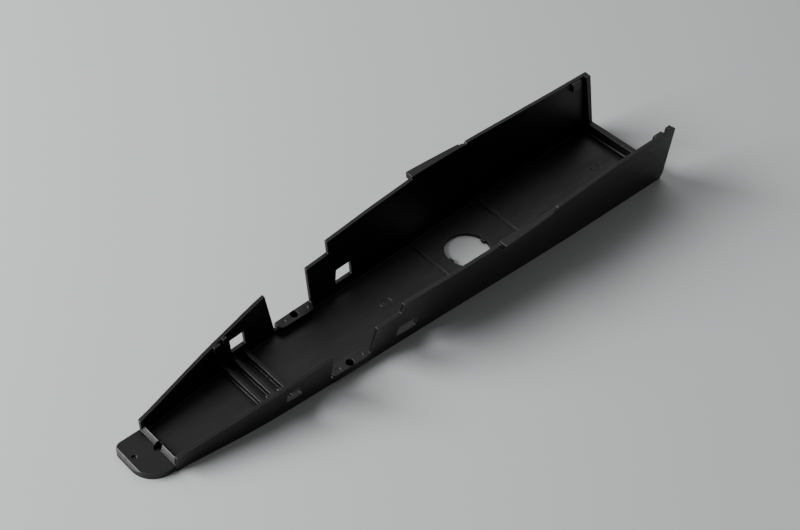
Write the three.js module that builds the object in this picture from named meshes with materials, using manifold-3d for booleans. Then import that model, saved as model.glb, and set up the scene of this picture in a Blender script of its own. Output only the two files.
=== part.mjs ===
// Moulded tub chassis for a small tracked or wheeled model: one black plastic moulding,
// built here region by region. Millimetres, +X towards the nose, +Y to the vehicle's left,
// +Z up. The origin is under the middle of the tub, on the surface that it rests on.
import * as THREE from 'three';
import Module from 'manifold-3d';
import { mergeVertices } from 'three/addons/utils/BufferGeometryUtils.js';

const wasm = await Module();
wasm.setup();

// ---- driving dimensions -------------------------------------------------------------
// A station is the distance behind the front ends of the side walls.
const wallFrontX = 143.5;
const tubLength = 301;
const tongueReach = 14;
const floorThickness = 2.25;
const wallThickness = 1.9;
const regionGap = 0.3;
const blankTop = 42;

// Half-width of the outer face at the bottom edge, and how far the face leans outwards
// for each millimetre of height: [station, value], joined by a smooth curve.
const footprint = [[0, 12.5], [40, 17.2], [80, 19.2], [150, 21.9], [225, 24.9], [301, 26.4]];
const lean = [
  [0, 0.09], [40, 0.15], [78, 0.21], [105, 0.18],
  [150, 0.205], [200, 0.19], [250, 0.118], [301, 0.095],
];

const frontWall = { topAtNose: 9.1, peakStation: 75.5, peakHeight: 24.7, footStation: 77.4 };
const frontWindow = { start: 52.9, end: 61, sill: 8.3, head: 14.9 };
const rearWall = {
  start: 100.1, lowTopFront: 25.1, lowTopBack: 25.9,
  riser: 113.6, highTop: 32.5, topAtLip: 35.4,
  lipStart: 170.4, lipEnd: 206.4, lipTopFront: 37.1, lipTopBack: 36.9,
  notchEnd: 208, notchDepth: 0.7, topBehindNotch: 37.4,
  crownStation: 250, crownHeight: 38.2, rearTopStation: 296.7, rearTopHeight: 37.7,
};
const rearWindow = { start: 114.7, end: 126.2, sill: 7.5, head: 14.6 };

// The tongue's left front corner is a wide round, its right one a small round.
const tongue = {
  thickness: 3.6, leftWidth: 12.1, leftCorner: 11.5, rightWidth: 12.7, rightCorner: 4,
};
const dimple = { station: -10.3, y: -2.4, radius: 1.25, depth: 0.9 };
const frontBar = { length: 2.4, top: 5.6, notchRadius: 1.9 };
const rearBar = { start: 296.9, end: 300.4, top: 7.6 };

const floorHole = { station: 183.5, radius: 11.6, nubWidth: 2.6, nubReach: 1.2 };
// The pads stand a little proud of the walls. Their screw holes end at the floor plate.
const pad = { start: 79.3, end: 99.8, inner: 15.6, top: 6.3, cornerRadius: 2.5, proud: 0.3 };
const padHole = { station: 89.6, y: 18.9, radius: 1.95 };

// Ribs across the floor: [name, front station, rear station, top height].
const floorRibs = [
  ['bulkhead_rib_front', 46.3, 48.0, 5.2],
  ['bulkhead_rib_middle', 52.5, 54.3, 5.2],
  ['bulkhead_rib_rear', 59.0, 60.8, 5.2],
  ['bay_rib_front', 163.6, 164.8, 3.3],
  ['bay_rib_rear', 211.5, 213.3, 3.4],
];

const lip = { depth: 3, outerAtStart: 2.7, outerAtEnd: 0.8, end: 204.4 };

// Small lugs inside the wall tops: [name, start, end, reach, height, drop below the top].
const lugs = [
  ['front_lug_fore', 43.4, 47.2, 1.3, 2.6, 0.3],
  ['front_lug_aft', 48.8, 51.2, 1.3, 2.6, 0.3],
  ['rear_lug', 283.6, 289.6, 1.7, 4.5, 0.5],
];

// Guide ribs inside the rear ends of the walls, standing on the rear bar's two ends.
const rearGuide = { length: 3.2, reachAtFoot: 3.2, reachAtTop: 2 };

// ---- shape of the tub ---------------------------------------------------------------
// Smooth curve through [station, value] knots: a cubic between each pair, with the
// slope at a knot taken from its neighbours.
function along(knots, station) {
  const last = knots.length - 2;
  let i = 0;
  while (i < last && station > knots[i + 1][0]) i += 1;
  const [s0, v0] = knots[i];
  const [s1, v1] = knots[i + 1];
  const slopeAt = (k) => {
    const a = knots[Math.max(k - 1, 0)];
    const b = knots[Math.min(k + 1, knots.length - 1)];
    return (b[1] - a[1]) / (b[0] - a[0]);
  };
  const span = s1 - s0;
  const u = THREE.MathUtils.clamp((station - s0) / span, 0, 1);
  const h00 = 2 * u ** 3 - 3 * u ** 2 + 1;
  const h10 = u ** 3 - 2 * u ** 2 + u;
  const h01 = 3 * u ** 2 - 2 * u ** 3;
  const h11 = u ** 3 - u ** 2;
  return h00 * v0 + h10 * span * slopeAt(i) + h01 * v1 + h11 * span * slopeAt(i + 1);
}

const toX = (station) => wallFrontX - station;
const outerFace = (station, z) => along(footprint, station) + along(lean, station) * z;
const innerFace = (station, z) => outerFace(station, z) - wallThickness;

// Height of the side walls' top edge where they carry lugs.
function wallTop(station) {
  const ramp = (s0, s1, a, b) => THREE.MathUtils.mapLinear(station, s0, s1, a, b);
  const { peakStation, peakHeight, topAtNose } = frontWall;
  if (station <= peakStation) return ramp(0, peakStation, topAtNose, peakHeight);
  const w = rearWall;
  return ramp(w.crownStation, w.rearTopStation, w.crownHeight, w.rearTopHeight);
}

// ---- solids -------------------------------------------------------------------------
function toSolid(geometry) {
  const bare = geometry.index ? geometry : geometry.clone();
  bare.deleteAttribute('normal');
  bare.deleteAttribute('uv');
  const merged = mergeVertices(bare, 1e-4);
  return new wasm.Manifold(new wasm.Mesh({
    numProp: 3,
    vertProperties: new Float32Array(merged.attributes.position.array),
    triVerts: new Uint32Array(merged.index.array),
  }));
}

function toGeometry(solid) {
  const mesh = solid.getMesh();
  const geometry = new THREE.BufferGeometry();
  geometry.setAttribute('position', new THREE.BufferAttribute(new Float32Array(mesh.vertProperties), 3));
  geometry.setIndex(new THREE.BufferAttribute(new Uint32Array(mesh.triVerts), 1));
  geometry.computeVertexNormals();
  return geometry;
}

// Closed body through equal rings of points, from the first ring to the last.
function loft(rings) {
  const count = rings[0].length;
  const positions = rings.flat().flatMap((p) => [p.x, p.y, p.z]);
  const index = [];
  for (let r = 0; r < rings.length - 1; r += 1) {
    for (let i = 0; i < count; i += 1) {
      const a = r * count + i;
      const b = r * count + ((i + 1) % count);
      index.push(a, b, b + count, a, b + count, a + count);
    }
  }
  const end = (rings.length - 1) * count;
  for (let i = 1; i < count - 1; i += 1) {
    index.push(0, i + 1, i);
    index.push(end, end + i, end + i + 1);
  }
  const geometry = new THREE.BufferGeometry();
  geometry.setAttribute('position', new THREE.Float32BufferAttribute(positions, 3));
  geometry.setIndex(index);
  return geometry;
}

function stations(start, end, step = 6) {
  const count = Math.max(1, Math.round((end - start) / step));
  return Array.from({ length: count + 1 }, (_, i) => start + ((end - start) * i) / count);
}

// Body on the left of the centre plane, from z0 to z1, between two faces that are
// functions of station and height.
function slab(start, end, nearFace, farFace, z0, z1) {
  const rings = stations(start, end).map((s) => [
    new THREE.Vector3(toX(s), nearFace(s, z0), z0),
    new THREE.Vector3(toX(s), farFace(s, z0), z0),
    new THREE.Vector3(toX(s), farFace(s, z1), z1),
    new THREE.Vector3(toX(s), nearFace(s, z1), z1),
  ]);
  return toSolid(loft(rings.reverse()));
}

const centrePlane = () => 0;
const mirrored = (solid) => solid.mirror([0, 1, 0]);
const bothHalves = (half) => half.add(mirrored(half));

// Upright plate of a side-view outline: the shape is drawn in X and Z, and it is swept
// across the whole width.
function sideCut(shape) {
  const width = 90;
  const geometry = new THREE.ExtrudeGeometry(shape, { depth: width, bevelEnabled: false });
  geometry.translate(0, 0, -width / 2);
  geometry.rotateX(Math.PI / 2);
  return toSolid(geometry);
}

// Flat plate of a plan outline, drawn in X and Y, from z0 to z1.
function planCut(shape, z0, z1, curveSegments = 8) {
  const depth = z1 - z0;
  const geometry = new THREE.ExtrudeGeometry(shape, { depth, bevelEnabled: false, curveSegments });
  geometry.translate(0, 0, z0);
  return toSolid(geometry);
}

function drill(x, y, radius, z0, z1, segments = 24) {
  const geometry = new THREE.CylinderGeometry(radius, radius, z1 - z0, segments);
  geometry.rotateX(Math.PI / 2);
  geometry.translate(x, y, (z0 + z1) / 2);
  return toSolid(geometry);
}

function polygon(points) {
  return new THREE.Shape(points.map(([x, z]) => new THREE.Vector2(x, z)));
}

function windowHole(w) {
  return new THREE.Path([
    [w.start, w.sill], [w.end, w.sill], [w.end, w.head], [w.start, w.head],
  ].map(([s, z]) => new THREE.Vector2(toX(s), z)));
}

// ---- regions of the moulding --------------------------------------------------------
function frontWallProfile() {
  const shape = polygon([
    [toX(0), floorThickness],
    [toX(0), frontWall.topAtNose],
    [toX(frontWall.peakStation), frontWall.peakHeight],
    [toX(frontWall.footStation), pad.top],
    [toX(frontWall.footStation), floorThickness],
  ]);
  shape.holes.push(windowHole(frontWindow));
  return shape;
}

function rearWallProfile() {
  const w = rearWall;
  const shape = polygon([
    [toX(w.start), floorThickness],
    [toX(w.start), w.lowTopFront],
    [toX(w.riser), w.lowTopBack],
    [toX(w.riser), w.highTop],
    [toX(w.lipStart), w.topAtLip],
    [toX(w.lipStart), w.lipTopFront],
    [toX(w.lipEnd), w.lipTopBack],
    [toX(w.lipEnd), w.lipTopBack - w.notchDepth],
    [toX(w.notchEnd), w.topBehindNotch - w.notchDepth],
    [toX(w.notchEnd), w.topBehindNotch],
    [toX(w.crownStation), w.crownHeight],
    [toX(w.rearTopStation), w.rearTopHeight],
    [toX(tubLength), floorThickness],
  ]);
  shape.holes.push(windowHole(rearWindow));
  return shape;
}

// Walls, pads, lips and lugs are built for the left; the right ones are their mirror images.
function sideWall(start, end, profile) {
  return slab(start, end, innerFace, outerFace, 0, blankTop).intersect(sideCut(profile));
}

const padSide = (station) => outerFace(station, pad.top) + pad.proud;

// Below each pad the plate's edge slants out to meet the pad's upright side.
function padSkirt() {
  const edge = (s, z) => THREE.MathUtils.lerp(outerFace(s, 0), padSide(s), z / floorThickness);
  return slab(pad.start, pad.end, centrePlane, edge, 0, floorThickness);
}

function floorPan() {
  const half = slab(0, tubLength, centrePlane, outerFace, 0, floorThickness).add(padSkirt());
  const x = toX(floorHole.station);
  let cutter = drill(x, 0, floorHole.radius, -1, floorThickness + 1, 48);
  for (const end of [-1, 1]) {
    const middle = x + end * (floorHole.radius + 1 - floorHole.nubReach / 2);
    const nub = new THREE.BoxGeometry(floorHole.nubReach + 2, floorHole.nubWidth, floorThickness + 4);
    nub.translate(middle, 0, floorThickness / 2);
    cutter = cutter.subtract(toSolid(nub));
  }
  return bothHalves(half).subtract(cutter);
}

function screwPad() {
  const outline = new THREE.Shape();
  const reach = 30;
  const r = pad.cornerRadius;
  const front = toX(pad.start);
  const back = toX(pad.end);
  outline.moveTo(front, reach);
  outline.lineTo(back, reach);
  outline.lineTo(back, pad.inner + r);
  outline.absarc(back + r, pad.inner + r, r, Math.PI, 1.5 * Math.PI);
  outline.lineTo(front - r, pad.inner);
  outline.absarc(front - r, pad.inner + r, r, -0.5 * Math.PI, 0);
  const block = planCut(outline, floorThickness, pad.top);
  const inside = slab(pad.start - 5, pad.end + 5, centrePlane, padSide, 0, pad.top + 1);
  const hole = drill(toX(padHole.station), padHole.y, padHole.radius, 0, pad.top + 1);
  return block.intersect(inside).subtract(hole);
}

function crossRib(start, end, top) {
  const tip = (s, z) => innerFace(s, z) - regionGap;
  return bothHalves(slab(start, end, centrePlane, tip, floorThickness, top));
}

function noseNotch() {
  return drill(toX(0), 0, frontBar.notchRadius, -1, frontBar.top + 1);
}

function noseTongue() {
  const { leftWidth, leftCorner, rightWidth, rightCorner } = tongue;
  const tip = toX(-tongueReach);
  const outline = new THREE.Shape();
  outline.moveTo(toX(0), leftWidth);
  outline.lineTo(toX(0), -rightWidth);
  outline.lineTo(tip - rightCorner, -rightWidth);
  outline.absarc(tip - rightCorner, rightCorner - rightWidth, rightCorner, -0.5 * Math.PI, 0);
  outline.absarc(tip - leftCorner, leftWidth - leftCorner, leftCorner, 0, 0.5 * Math.PI);
  const top = tongue.thickness;
  const recess = drill(toX(dimple.station), dimple.y, dimple.radius, top - dimple.depth, top + 1);
  return planCut(outline, 0, top, 10).subtract(recess).subtract(noseNotch());
}

// Lip on the outside of a wall top, tapering to the rear.
function topLip() {
  const { lipStart, lipTopBack } = rearWall;
  const reach = (s) => THREE.MathUtils.mapLinear(s, lipStart, lip.end, lip.outerAtStart, lip.outerAtEnd);
  const root = (s, z) => outerFace(s, z) + regionGap;
  const edge = (s, z) => outerFace(s, z) + reach(s);
  return slab(lipStart, lip.end, root, edge, lipTopBack - lip.depth, lipTopBack);
}

function wallLug(start, end, reach, height, drop) {
  const top = wallTop((start + end) / 2) - drop;
  const tip = (s, z) => innerFace(s, z) - reach;
  const root = (s, z) => innerFace(s, z) - regionGap;
  return slab(start, end, tip, root, top - height, top);
}

// The guide's ends follow the sloping rear edge of the wall.
function rearGuideRib() {
  const foot = rearBar.top + regionGap;
  const top = rearWall.rearTopHeight - regionGap;
  const edgeAt = (z) => THREE.MathUtils.mapLinear(
    z, floorThickness, rearWall.rearTopHeight, tubLength, rearWall.rearTopStation,
  );
  const reach = (z) => THREE.MathUtils.mapLinear(z, foot, top, rearGuide.reachAtFoot, rearGuide.reachAtTop);
  const tip = (s, z) => innerFace(s, z) - reach(z);
  const root = (s, z) => innerFace(s, z) - regionGap;
  const outline = polygon([
    [toX(edgeAt(foot) - rearGuide.length), foot],
    [toX(edgeAt(top) - rearGuide.length), top],
    [toX(edgeAt(top) - regionGap), top],
    [toX(edgeAt(foot) - regionGap), foot],
  ]);
  return slab(285, tubLength + 3, tip, root, foot, top).intersect(sideCut(outline));
}

// ---- assembly -----------------------------------------------------------------------
function plasticMaterial() {
  return new THREE.MeshStandardMaterial({ color: 0x141312, roughness: 0.45, metalness: 0 });
}

const chassis = new THREE.Group();

function addRegion(name, solid) {
  const mesh = new THREE.Mesh(toGeometry(solid), plasticMaterial());
  mesh.name = name;
  chassis.add(mesh);
}

addRegion('floor_pan', floorPan());
addRegion('nose_tongue', noseTongue());
addRegion('front_crossbar', crossRib(0, frontBar.length, frontBar.top).subtract(noseNotch()));
addRegion('rear_crossbar', crossRib(rearBar.start, rearBar.end, rearBar.top));
for (const [name, start, end, top] of floorRibs) addRegion(name, crossRib(start, end, top));

function addSidePair(name, left) {
  addRegion(`left_${name}`, left);
  addRegion(`right_${name}`, mirrored(left));
}

addSidePair('front_wall', sideWall(-2, 90, frontWallProfile()));
addSidePair('rear_wall', sideWall(95, tubLength + 5, rearWallProfile()));
addSidePair('screw_pad', screwPad());
addSidePair('top_lip', topLip());
for (const [name, ...size] of lugs) addSidePair(name, wallLug(...size));
addSidePair('rear_guide', rearGuideRib());

export default chassis;
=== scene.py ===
# The chassis tub as one black injection-moulded skin, lying on a pale studio floor.
# Lengths in the first block are in millimetres. Regions of the tub take their places from the
# frame; holes, windows and marks have theirs below.
import math

import bmesh
import bpy
from mathutils import Matrix, Vector
from mathutils.bvhtree import BVHTree


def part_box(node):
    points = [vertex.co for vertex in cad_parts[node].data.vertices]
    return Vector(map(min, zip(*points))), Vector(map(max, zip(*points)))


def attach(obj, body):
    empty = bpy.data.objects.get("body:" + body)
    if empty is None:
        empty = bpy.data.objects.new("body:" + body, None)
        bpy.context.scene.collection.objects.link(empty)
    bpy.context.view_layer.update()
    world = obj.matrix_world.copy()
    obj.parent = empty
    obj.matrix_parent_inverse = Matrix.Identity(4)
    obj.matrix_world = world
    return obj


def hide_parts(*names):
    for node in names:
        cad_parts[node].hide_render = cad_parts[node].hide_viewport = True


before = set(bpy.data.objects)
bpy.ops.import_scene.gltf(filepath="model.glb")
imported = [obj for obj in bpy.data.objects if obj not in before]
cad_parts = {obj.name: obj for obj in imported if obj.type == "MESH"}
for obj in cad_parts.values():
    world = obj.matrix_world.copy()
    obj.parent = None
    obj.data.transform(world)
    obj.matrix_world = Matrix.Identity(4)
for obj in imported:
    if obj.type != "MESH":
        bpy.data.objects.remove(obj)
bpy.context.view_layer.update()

MM = 0.001

# ---- driving dimensions, in millimetres ----------------------------------------------
WALL = 1.9
STATION_STEP = 6.0  # picked by trial: of 4 to 8, only 6 leaves no non-manifold edge
BLANK_TOP = 45.0
FAR = 60.0
OVERRUN = 1.0  # how far one solid runs into the next before they are joined or cut
BAR_OVERRUN = 9.0
CAVITY_OVERRUN = 5.0
WELD_GAP = 0.2
FLAT_ANGLE = math.radians(0.4)
EDGE_RADIUS = 0.2
SPIKE_GAP = 0.15  # further than this from the square-edged skin, a point is a spike
EDGE_STEPS = 2
SHARP_EDGE = math.radians(28)

# Top edge of the side walls. Each distance is measured back from the front of that wall.
FRONT_WALL = {"nose_top": 9.1, "peak_back": 75.5, "peak_top": 24.7}
REAR_WALL = {"step_back": 13.5, "step_top": (25.1, 25.9), "high_top": 32.5, "lip_foot": 35.4,
             "lip_top": (37.1, 36.9), "notch": (1.6, 0.7), "notch_top": 37.4, "notch_start": 2.0,
             "crown_back": 149.9, "crown_top": 38.2, "end_back": 196.6, "end_top": 37.7, "heel": (1.0, 4.0)}
FRONT_WINDOW = {"back": (52.9, 61.0), "height": (8.3, 14.9)}
REAR_WINDOW = {"back": (14.6, 26.1), "height": (7.5, 14.6)}

FLOOR_HOLE = {"x": -40.0, "radius": 11.6, "nub_width": 2.6, "nub_reach": 1.2}
PAD = {"corner": 2.5, "proud": 0.3, "shoulder": 2.6, "front_gap_depth": 2.2,
       "hole_x": 53.9, "hole_y": 18.9, "hole_radius": 1.95}
PIN_MARK = {"radius": 1.25, "depth": 0.35, "inset": 3.6, "y": 18.6}
GATE_MARKS = [{"x": 14.8, "radius": 3.4}, {"x": -135.5, "radius": 3.0}]
GATE_MARK = {"depth": 0.22, "ring_width": 0.7, "nub_radius": 0.9, "nub_height": 0.25}
FRONT_BAR_SLOPE = {"front": 1.3, "rear": 0.8}
REAR_BAR_FOOT = 0.5
REAR_GUIDE = {"length": 3.2, "foot_reach": 3.2, "top_reach": 2.0}
TONGUE = {"left_corner": 11.5, "right_corner": 4.0, "chamfer": (1.2, 1.1)}
DIMPLE = {"x": 153.8, "y": -2.4, "radius": 1.25, "depth": 0.9}
LIP = {"sink": 0.9, "rear_reach": 0.8}
LUG_REACH = {"left_front_lug_fore": 1.3, "left_front_lug_aft": 1.3, "left_rear_lug": 1.7}
NOSE_NOTCH_RADIUS = 1.9


# ---- the frame's own shape -----------------------------------------------------------
def box_mm(node):
    """Lowest and highest corner of a CAD node, in millimetres."""
    low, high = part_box(node)
    return low / MM, high / MM


class Splay:
    """Half-width of the tub's faces at any place and height, read from the walls' outer faces."""

    LEAST_HEIGHT = 3.0

    def __init__(self):
        self.feet = []
        self.leans = []
        for node in ("left_rear_wall", "left_front_wall"):
            for x, column in sorted(self.columns(node).items()):
                low, high = min(column), max(column)
                if high - low > self.LEAST_HEIGHT:
                    lean = (column[high] - column[low]) / (high - low)
                    self.leans.append((x, lean))
                    self.feet.append((x, column[low] - lean * low))

    @staticmethod
    def columns(node):
        """The wall's corner points, gathered by place along the tub: {x: {height: half-width}}."""
        found = {}
        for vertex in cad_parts[node].data.vertices:
            x, y, z = vertex.co / MM
            column = found.setdefault(round(x, 1), {})
            height = round(z, 1)
            column[height] = max(column.get(height, 0.0), y)
        return found

    @staticmethod
    def read(line, x):
        x = min(max(x, line[0][0]), line[-1][0])
        for (x0, y0), (x1, y1) in zip(line, line[1:]):
            if x <= x1:
                return y0 + (y1 - y0) * (x - x0) / (x1 - x0)

    def outer(self, x, z):
        return self.read(self.feet, x) + self.read(self.leans, x) * z

    def inner(self, x, z):
        return self.outer(x, z) - WALL


splay = Splay()
nose_x = box_mm("floor_pan")[1].x
rear_x = box_mm("floor_pan")[0].x
floor_top = box_mm("floor_pan")[1].z


# ---- mesh helpers --------------------------------------------------------------------
def new_object(name, mesh_data):
    obj = bpy.data.objects.new(name, mesh_data)
    bpy.context.scene.collection.objects.link(obj)
    return obj


def from_bmesh(name, bm):
    bmesh.ops.recalc_face_normals(bm, faces=bm.faces)
    data = bpy.data.meshes.new(name)
    bm.to_mesh(data)
    bm.free()
    return new_object(name, data)


def loft(name, rings):
    """Closed solid through equal rings of points in millimetres."""
    bm = bmesh.new()
    loops = [[bm.verts.new(Vector(p) * MM) for p in ring] for ring in rings]
    for a, b in zip(loops, loops[1:]):
        for i in range(len(a)):
            j = (i + 1) % len(a)
            bm.faces.new((a[i], a[j], b[j], b[i]))
    bm.faces.new(loops[0])
    bm.faces.new(loops[-1])
    return from_bmesh(name, bm)


def plan_prism(name, outline, z0, z1):
    """Upright prism over an outline drawn in X and Y."""
    return loft(name, [[(x, y, z) for x, y in outline] for z in (z0, z1)])


def side_prism(name, outline, half_width=FAR):
    """Prism across the tub, through an outline drawn in X and Z."""
    return loft(name, [[(x, y, z) for x, z in outline] for y in (-half_width, half_width)])


def block(name, low, high):
    outline = [(low[0], low[1]), (high[0], low[1]), (high[0], high[1]), (low[0], high[1])]
    return plan_prism(name, outline, low[2], high[2])


def arc(cx, cy, radius, start, end, steps):
    turns = [math.radians(start + (end - start) * i / steps) for i in range(steps + 1)]
    return [(cx + radius * math.cos(t), cy + radius * math.sin(t)) for t in turns]


def disc(name, x, y, radius, z0, z1, steps=32):
    return plan_prism(name, arc(x, y, radius, 0, 360, steps)[:-1], z0, z1)


def combine(target, tool, operation):
    """Boolean of two closed meshes. The tool is used up."""
    modifier = target.modifiers.new("cut", "BOOLEAN")
    modifier.operation = operation
    modifier.solver = "MANIFOLD"
    modifier.object = tool
    apply_modifiers(target)
    bpy.data.objects.remove(tool)
    return target


def apply_modifiers(obj):
    graph = bpy.context.evaluated_depsgraph_get()
    data = bpy.data.meshes.new_from_object(obj.evaluated_get(graph))
    obj.modifiers.clear()
    old = obj.data
    obj.data = data
    bpy.data.meshes.remove(old)


def mirror_across(obj):
    """A copy of the object on the other side of the tub's centre plane."""
    twin = new_object(obj.name + "_twin", obj.data.copy())
    twin.data.transform(Matrix.Scale(-1, 4, Vector((0, 1, 0))))
    twin.data.flip_normals()
    return twin


def combine_pair(target, left_tool, operation):
    combine(target, mirror_across(left_tool), operation)
    return combine(target, left_tool, operation)


# ---- regions of the tub --------------------------------------------------------------
def stations(x0, x1):
    count = max(1, round(abs(x1 - x0) / STATION_STEP))
    return [x0 + (x1 - x0) * i / count for i in range(count + 1)]


def tub_blank(name, face, z0, x0=rear_x, x1=nose_x):
    """Solid between the same face on both sides, from z0 up past the walls."""
    rings = []
    for x in stations(x0, x1):
        low, high = face(x, z0), face(x, BLANK_TOP)
        rings.append([(x, -low, z0), (x, low, z0), (x, high, BLANK_TOP), (x, -high, BLANK_TOP)])
    return loft(name, rings)


def side_slab(name, x0, x1, near, far, z0, z1):
    """Solid on the left side, between two faces that are functions of place and height."""
    rings = []
    for x in stations(x0, x1):
        rings.append([(x, near(x, z0), z0), (x, far(x, z0), z0), (x, far(x, z1), z1), (x, near(x, z1), z1)])
    return loft(name, rings)


def side_outline():
    """Side view of the whole tub, from the nose to the rear and back under the floor."""
    front_low, front_high = box_mm("left_front_wall")
    rear_low, rear_high = box_mm("left_rear_wall")
    lip_low, lip_high = box_mm("left_top_lip")
    pad_front = box_mm("left_screw_pad")[1].x
    pad_top = box_mm("left_screw_pad")[1].z
    gap_floor = pad_top - PAD["front_gap_depth"]
    wall = REAR_WALL
    heel_length, heel_height = wall["heel"]
    start = rear_high.x
    notch_x = lip_low.x - wall["notch_start"]
    notch_length, notch_depth = wall["notch"]
    return [
        (nose_x, 0.0),
        (nose_x, FRONT_WALL["nose_top"]),
        (nose_x - FRONT_WALL["peak_back"], FRONT_WALL["peak_top"]),
        (front_low.x, pad_top),
        (front_low.x, gap_floor),
        (pad_front, gap_floor),
        (pad_front, pad_top),
        (start, pad_top),
        (start, wall["step_top"][0]),
        (start - wall["step_back"], wall["step_top"][1]),
        (start - wall["step_back"], wall["high_top"]),
        (lip_high.x, wall["lip_foot"]),
        (lip_high.x, wall["lip_top"][0]),
        (notch_x, wall["lip_top"][1]),
        (notch_x, wall["lip_top"][1] - notch_depth),
        (notch_x - notch_length, wall["notch_top"] - notch_depth),
        (notch_x - notch_length, wall["notch_top"]),
        (start - wall["crown_back"], wall["crown_top"]),
        (start - wall["end_back"], wall["end_top"]),
        (rear_x, heel_height),
        (rear_x + heel_length, 0.0),
    ]


def lip_outer(x, z):
    low, high = box_mm("left_top_lip")
    along = (high.x - x) / (high.x - low.x)
    front_reach = high.y - splay.outer(high.x, high.z)
    return splay.outer(x, z) + front_reach + (LIP["rear_reach"] - front_reach) * along


def top_lip():
    low, high = box_mm("left_top_lip")

    def root(x, z):
        return splay.outer(x, z) - LIP["sink"]

    return side_slab("lip", low.x, high.x, root, lip_outer, low.z, BLANK_TOP - OVERRUN)


def rib_block(node):
    low, high = box_mm(node)
    return block(node, (low.x, -FAR, -OVERRUN), (high.x, FAR, high.z))


def front_bar():
    """The bar behind the tongue, its top sloping down to the front and to the rear."""
    low, high = box_mm("front_crossbar")
    front, rear = FRONT_BAR_SLOPE["front"], FRONT_BAR_SLOPE["rear"]
    ahead = high.x + BAR_OVERRUN
    outline = [(ahead, -OVERRUN), (ahead, high.z - front), (high.x, high.z - front),
               (high.x - front, high.z), (low.x + rear, high.z), (low.x, high.z - rear),
               (low.x, -OVERRUN)]
    return side_prism("front_bar", outline)


def rear_bar():
    """The bar across the rear, with a small fillet at its foot."""
    low, high = box_mm("rear_crossbar")
    foot = REAR_BAR_FOOT
    behind = rear_x - BAR_OVERRUN
    outline = [(behind, -OVERRUN), (behind, high.z), (high.x, high.z), (high.x, floor_top + foot),
               (high.x + foot, floor_top), (high.x + foot, -OVERRUN)]
    return side_prism("rear_bar", outline)


def pad_block():
    """The pad's plan, running out past the wall, with two rounded inner corners."""
    low, high = box_mm("left_screw_pad")
    r = PAD["corner"]
    shoulder = high.y - PAD["shoulder"]
    ahead = box_mm("left_front_wall")[0].x + OVERRUN
    behind = box_mm("left_rear_wall")[1].x - OVERRUN
    outline = [(ahead, FAR), (behind, FAR), (behind, shoulder), (low.x, shoulder)]
    outline += arc(low.x + r, low.y + r, r, 180, 270, 6)
    outline += arc(high.x - r, low.y + r, r, 270, 360, 6)
    outline += [(high.x, shoulder), (ahead, shoulder)]
    return plan_prism("pad", outline[::-1], -OVERRUN, high.z)


def pad_side(x):
    return splay.outer(x, box_mm("left_screw_pad")[1].z) + PAD["proud"]


def pad_cheek():
    """The pad's upright outer side, which stands proud of the walls, with a slanted foot."""
    low, high = box_mm("left_screw_pad")

    def side(x, z):
        return pad_side(x)

    def slanted(x, z):
        return splay.outer(x, 0) + (pad_side(x) - splay.outer(x, 0)) * z / floor_top

    def root(x, z):
        return splay.outer(x, 0) - OVERRUN

    upper = side_slab("cheek", low.x, high.x, root, side, floor_top, high.z)
    return combine(upper, side_slab("foot", low.x, high.x, root, slanted, 0, floor_top), "UNION")


def pin_marks(tub):
    """Shallow round ejector marks, two on each pad."""
    low, high = box_mm("left_screw_pad")
    floor = high.z - PIN_MARK["depth"]
    for x in (low.x + PIN_MARK["inset"], high.x - PIN_MARK["inset"]):
        mark = disc("pin", x, PIN_MARK["y"], PIN_MARK["radius"], floor, high.z + OVERRUN, 20)
        combine_pair(tub, mark, "DIFFERENCE")


def gate_marks(tub):
    """A shallow ring with a small nub at each place where the plastic entered the mould."""
    above = floor_top + OVERRUN
    for gate in GATE_MARKS:
        x, radius = gate["x"], gate["radius"]
        ring = disc("gate", x, 0, radius, floor_top - GATE_MARK["depth"], above, 40)
        core = disc("core", x, 0, radius - GATE_MARK["ring_width"], 0, above + OVERRUN, 40)
        combine(tub, combine(ring, core, "DIFFERENCE"), "DIFFERENCE")
        nub_top = floor_top + GATE_MARK["nub_height"]
        nub = disc("nub", x, 0, GATE_MARK["nub_radius"], floor_top / 2, nub_top, 16)
        combine(tub, nub, "UNION")


def beyond_wall(x, z):
    return splay.outer(x, z) + OVERRUN


def wall_lug(node):
    low, high = box_mm(node)

    def tip(x, z):
        return splay.inner(x, z) - LUG_REACH[node]

    return side_slab(node, low.x, high.x, tip, beyond_wall, low.z, high.z)


def rear_guide():
    """Upright rib inside the rear end of the wall, its front face parallel to the rear edge."""
    foot = box_mm("rear_crossbar")[1].z - OVERRUN
    top = box_mm("left_rear_guide")[1].z
    top_edge = box_mm("left_rear_wall")[1].x - REAR_WALL["end_back"]
    back = rear_x - OVERRUN

    def tip(x, z):
        up = (z - foot) / (top - foot)
        reach = REAR_GUIDE["foot_reach"] * (1 - up) + REAR_GUIDE["top_reach"] * up
        return splay.inner(x, z) - reach

    front_foot = rear_x + REAR_GUIDE["length"]
    front_top = top_edge + REAR_GUIDE["length"]
    slab = side_slab("rear_guide", back, front_top + OVERRUN, tip, beyond_wall, foot, top)
    outline = [(back - OVERRUN, foot - OVERRUN), (front_foot, foot - OVERRUN), (front_foot, foot),
               (front_top, top), (front_top, top + OVERRUN), (back - OVERRUN, top + OVERRUN)]
    return combine(slab, side_prism("guide_view", outline), "INTERSECT")


CROSS_RIBS = ["bulkhead_rib_front", "bulkhead_rib_middle", "bulkhead_rib_rear",
              "bay_rib_front", "bay_rib_rear"]


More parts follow.
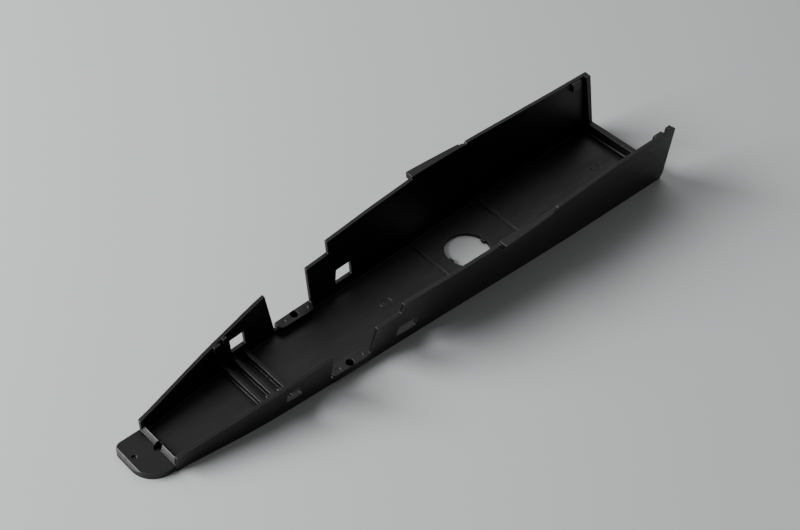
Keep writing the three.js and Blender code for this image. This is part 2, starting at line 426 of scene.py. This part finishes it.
def cavity():
    """Everything open above the floor and between the walls."""
    behind, ahead = rear_x - CAVITY_OVERRUN, nose_x + CAVITY_OVERRUN
    void = tub_blank("cavity", splay.inner, floor_top, behind, ahead)
    for node in CROSS_RIBS:
        combine(void, rib_block(node), "DIFFERENCE")
    combine(void, front_bar(), "DIFFERENCE")
    combine(void, rear_bar(), "DIFFERENCE")
    combine_pair(void, pad_block(), "DIFFERENCE")
    combine_pair(void, rear_guide(), "DIFFERENCE")
    for node in LUG_REACH:
        combine_pair(void, wall_lug(node), "DIFFERENCE")
    return void


def window(wall_front, shape):
    back, height = shape["back"], shape["height"]
    outline = [(wall_front - back[0], height[0]), (wall_front - back[1], height[0]),
               (wall_front - back[1], height[1]), (wall_front - back[0], height[1])]
    return side_prism("window", outline)


def floor_hole():
    hole = FLOOR_HOLE
    above = floor_top + OVERRUN
    cutter = disc("floor_hole", hole["x"], 0, hole["radius"], -OVERRUN, above, 64)
    for end in (-1, 1):
        tip = hole["x"] + end * (hole["radius"] - hole["nub_reach"])
        back = hole["x"] + end * (hole["radius"] + 2 * OVERRUN)
        half = hole["nub_width"] / 2
        low = (min(tip, back), -half, -2 * OVERRUN)
        high = (max(tip, back), half, above + OVERRUN)
        nub = block("nub", low, high)
        combine(cutter, nub, "DIFFERENCE")
    return cutter


def tongue():
    """The flat tongue at the nose: a wide left corner, a small right one, a chamfered front."""
    low, high = box_mm("nose_tongue")
    left, right = TONGUE["left_corner"], TONGUE["right_corner"]
    back = nose_x - 1.5 * OVERRUN
    outline = [(back, low.y)] + arc(high.x - right, low.y + right, right, 270, 360, 8)
    outline += arc(high.x - left, high.y - left, left, 0, 90, 14) + [(back, high.y)]
    plate = plan_prism("tongue", outline, 0, high.z)
    length, drop = TONGUE["chamfer"]
    slope = drop / length
    ahead, above = high.x + OVERRUN, high.z + OVERRUN
    wedge = [(high.x - length, high.z), (high.x - length, above), (ahead, above),
             (ahead, high.z - drop - slope * OVERRUN), (high.x, high.z - drop)]
    combine(plate, side_prism("wedge", wedge[::-1]), "DIFFERENCE")
    floor = high.z - DIMPLE["depth"]
    dimple = disc("dimple", DIMPLE["x"], DIMPLE["y"], DIMPLE["radius"], floor, above, 24)
    return combine(plate, dimple, "DIFFERENCE")


def build_moulding():
    tub = tub_blank("chassis_moulding", splay.outer, 0)
    combine_pair(tub, top_lip(), "UNION")
    combine(tub, side_prism("side_view", side_outline()), "INTERSECT")
    combine(tub, cavity(), "DIFFERENCE")
    combine(tub, tongue(), "UNION")
    combine_pair(tub, pad_cheek(), "UNION")
    combine(tub, window(nose_x, FRONT_WINDOW), "DIFFERENCE")
    combine(tub, window(box_mm("left_rear_wall")[1].x, REAR_WINDOW), "DIFFERENCE")
    combine(tub, floor_hole(), "DIFFERENCE")
    screw_hole = disc("hole", PAD["hole_x"], PAD["hole_y"], PAD["hole_radius"], floor_top, BLANK_TOP)
    combine_pair(tub, screw_hole, "DIFFERENCE")
    combine(tub, disc("notch", nose_x, 0, NOSE_NOTCH_RADIUS, -OVERRUN, BLANK_TOP), "DIFFERENCE")
    pin_marks(tub)
    gate_marks(tub)
    return tub


# ---- rounded edges -------------------------------------------------------------------
def weld(obj):
    """Joins points that the booleans left almost together and drops slivers and loose scraps."""
    distance = WELD_GAP * MM
    bm = bmesh.new()
    bm.from_mesh(obj.data)
    bmesh.ops.remove_doubles(bm, verts=bm.verts, dist=distance)
    bmesh.ops.dissolve_degenerate(bm, edges=bm.edges, dist=distance)
    bmesh.ops.dissolve_limit(bm, angle_limit=FLAT_ANGLE, verts=bm.verts, edges=bm.edges)
    largest = max(islands(bm), key=len)
    bmesh.ops.delete(bm, geom=[v for v in bm.verts if v not in largest], context="VERTS")
    bmesh.ops.recalc_face_normals(bm, faces=bm.faces)
    bm.to_mesh(obj.data)
    bm.free()


def islands(bm):
    """The mesh's separate sets of joined points."""
    found, seen = [], set()
    for start in bm.verts:
        if start in seen:
            continue
        island, waiting = {start}, [start]
        while waiting:
            for edge in waiting.pop().link_edges:
                for vertex in edge.verts:
                    if vertex not in island:
                        island.add(vertex)
                        waiting.append(vertex)
        seen |= island
        found.append(island)
    return found


def settle(obj, surface):
    """Puts points that the rounding threw clear of the unrounded surface back on it."""
    for vertex in obj.data.vertices:
        nearest, _, _, gap = surface.find_nearest(vertex.co)
        if gap > SPIKE_GAP * MM:
            vertex.co = nearest


def round_edges(obj):
    """Rounds the sharp edges and gives the rounding the lighter edge finish, a painted highlight along the
    edges.
    """
    square_edged = bmesh.new()
    square_edged.from_mesh(obj.data)
    surface = BVHTree.FromBMesh(square_edged)
    square_edged.free()
    bevel = obj.modifiers.new("moulded_edges", "BEVEL")
    bevel.width = EDGE_RADIUS * MM
    bevel.segments = EDGE_STEPS
    bevel.limit_method = "ANGLE"
    bevel.angle_limit = SHARP_EDGE
    bevel.use_clamp_overlap = False  # short edges would otherwise hold the rounding near zero
    bevel.miter_outer = "MITER_ARC"
    bevel.material = 1  # the lighter edge finish: painted highlight along the rounded edges
    apply_modifiers(obj)
    settle(obj, surface)
    weighted = obj.modifiers.new("shading", "WEIGHTED_NORMAL")
    weighted.keep_sharp = True
    for polygon in obj.data.polygons:
        polygon.use_smooth = True
    apply_modifiers(obj)


# ---- material ------------------------------------------------------------------------
TONE_RANGE = (0.3, 0.72)
WAVE_BUMP = {"distance": 0.0003, "strength": 0.12}
GRAIN_DEPTH = 0.00006
REFRACTION = 1.5


class Plastic:
    """Builds the node tree of one finish of the black plastic."""

    def __init__(self, name):
        self.material = bpy.data.materials.new(name)
        self.material.use_nodes = True
        self.nodes = self.material.node_tree.nodes
        self.links = self.material.node_tree.links
        self.shader = self.nodes["Principled BSDF"]
        self.place = self.nodes.new("ShaderNodeTexCoord").outputs["Object"]

    def noise(self, scale, detail=2.0, rough=0.5, stretch=None):
        source = self.place
        if stretch:
            mapping = self.nodes.new("ShaderNodeMapping")
            mapping.inputs["Scale"].default_value = stretch
            self.links.new(source, mapping.inputs["Vector"])
            source = mapping.outputs["Vector"]
        node = self.nodes.new("ShaderNodeTexNoise")
        node.inputs["Scale"].default_value = scale
        node.inputs["Detail"].default_value = detail
        node.inputs["Roughness"].default_value = rough
        self.links.new(source, node.inputs["Vector"])
        return node.outputs["Fac"]

    def spread(self, value, low, high, start=0.3, end=0.7):
        node = self.nodes.new("ShaderNodeMapRange")
        node.inputs["From Min"].default_value = start
        node.inputs["From Max"].default_value = end
        node.inputs["To Min"].default_value = low
        node.inputs["To Max"].default_value = high
        self.links.new(value, node.inputs["Value"])
        return node.outputs["Result"]

    def blend(self, value, dark, light):
        node = self.nodes.new("ShaderNodeValToRGB")
        node.color_ramp.elements[0].position = TONE_RANGE[0]
        node.color_ramp.elements[1].position = TONE_RANGE[1]
        node.color_ramp.elements[0].color = (*dark, 1)
        node.color_ramp.elements[1].color = (*light, 1)
        self.links.new(value, node.inputs["Fac"])
        return node.outputs["Color"]

    def multiply(self, a, b):
        node = self.nodes.new("ShaderNodeMath")
        node.operation = "MULTIPLY"
        self.links.new(a, node.inputs[0])
        self.links.new(b, node.inputs[1])
        return node.outputs["Value"]

    def bump(self, height, distance, strength, under=None):
        node = self.nodes.new("ShaderNodeBump")
        node.inputs["Distance"].default_value = distance
        node.inputs["Strength"].default_value = strength
        self.links.new(height, node.inputs["Height"])
        if under:
            self.links.new(under, node.inputs["Normal"])
        return node.outputs["Normal"]

    def set(self, name, value):
        self.links.new(value, self.shader.inputs[name])


def black_plastic(name, dark, light, roughness, specular, grain_strength):
    """Satin moulded plastic: spark-eroded grain, faint flow streaks and handling scuffs."""
    plastic = Plastic(name)
    flow = plastic.noise(30.0, detail=4.0, stretch=(0.35, 1.0, 1.0))
    scuffs = plastic.noise(260.0, detail=3.0, rough=0.65, stretch=(0.25, 1.6, 1.0))
    grain = plastic.noise(2600.0, detail=2.0, rough=0.6)
    waves = plastic.noise(55.0, detail=1.0)
    tone = plastic.multiply(flow, plastic.spread(scuffs, 0.85, 1.15))
    plastic.set("Base Color", plastic.blend(tone, dark, light))
    low, high = roughness
    wear = plastic.multiply(scuffs, plastic.spread(flow, 0.9, 1.1))
    plastic.set("Roughness", plastic.spread(wear, low, high))
    broad = plastic.bump(waves, **WAVE_BUMP)
    plastic.set("Normal", plastic.bump(grain, GRAIN_DEPTH, grain_strength, broad))
    plastic.shader.inputs["IOR"].default_value = REFRACTION
    plastic.shader.inputs["Specular IOR Level"].default_value = specular
    return plastic.material


FACE = {"dark": (0.0022, 0.0021, 0.0020), "light": (0.0050, 0.0047, 0.0045),
        "roughness": (0.40, 0.50), "specular": 0.34, "grain_strength": 0.45}
# Lighter, glossier copy of the plastic for the rounded edges: its lighter colour is a painted highlight
# along the edges.
EDGE = {"dark": (0.012, 0.0115, 0.011), "light": (0.034, 0.033, 0.032),
        "roughness": (0.28, 0.40), "specular": 0.5, "grain_strength": 0.25}
moulding = build_moulding()
weld(moulding)
moulding.data.materials.clear()
moulding.data.materials.append(black_plastic("moulded_black_plastic", **FACE))
moulding.data.materials.append(black_plastic("painted_highlight_edge_plastic", **EDGE))
round_edges(moulding)
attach(moulding, "root")
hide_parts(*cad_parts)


# ---- studio, in metres and watts -----------------------------------------------------
FLOOR_HALF_SIZE = 3.0
FLOOR_COLOUR = (0.62, 0.63, 0.64, 1)
FLOOR_ROUGHNESS = 0.9
ROOM_COLOUR = (1, 1, 1, 1)
ROOM_STRENGTH = 0.15
KEY = {"direction": (0.70, -0.50, 0.51), "distance": 1.3, "size": (1.0, 0.6), "power": 28}
REAR = {"direction": (-0.45, -0.50, 0.75), "distance": 1.5, "size": (1.3, 0.9), "power": 5}
CAMERA = {"place": (0.32204, 0.29772, 0.45547), "back": (0.5141, 0.4855, 0.7071),
          "up": (-0.4581, -0.5416, 0.7049), "lens": 60.43, "sensor": 36.0, "clip": (0.01, 20)}


def studio_floor():
    data = bpy.data.meshes.new("studio_floor")
    size = FLOOR_HALF_SIZE
    corners = [(-size, -size, 0), (size, -size, 0), (size, size, 0), (-size, size, 0)]
    data.from_pydata(corners, [], [(0, 1, 2, 3)])
    floor = new_object("studio_floor", data)
    material = bpy.data.materials.new("pale_floor")
    material.use_nodes = True
    shader = material.node_tree.nodes["Principled BSDF"]
    shader.inputs["Base Color"].default_value = FLOOR_COLOUR
    shader.inputs["Roughness"].default_value = FLOOR_ROUGHNESS
    data.materials.append(material)


def area_light(name, direction, distance, size, power):
    light = bpy.data.lights.new(name, "AREA")
    light.shape = "RECTANGLE"
    light.size, light.size_y = size
    light.energy = power
    obj = bpy.data.objects.new(name, light)
    bpy.context.scene.collection.objects.link(obj)
    toward = Vector(direction).normalized()
    obj.location = toward * distance
    obj.rotation_euler = toward.to_track_quat("Z", "Y").to_euler()


def studio_light():
    world = bpy.data.worlds.new("soft_room")
    world.use_nodes = True
    background = world.node_tree.nodes["Background"]
    background.inputs["Color"].default_value = ROOM_COLOUR
    background.inputs["Strength"].default_value = ROOM_STRENGTH
    bpy.context.scene.world = world
    area_light("key_softbox", **KEY)
    area_light("rear_softbox", **REAR)


def camera():
    data = bpy.data.cameras.new("camera")
    data.sensor_width = CAMERA["sensor"]
    data.lens = CAMERA["lens"]
    obj = bpy.data.objects.new("camera", data)
    bpy.context.scene.collection.objects.link(obj)
    back = Vector(CAMERA["back"]).normalized()
    up = Vector(CAMERA["up"])
    right = up.cross(back).normalized()
    up = back.cross(right)
    turn = Matrix((right, up, back)).transposed().to_4x4()
    obj.matrix_world = Matrix.Translation(CAMERA["place"]) @ turn
    data.clip_start, data.clip_end = CAMERA["clip"]
    bpy.context.scene.camera = obj


studio_floor()
studio_light()
camera()
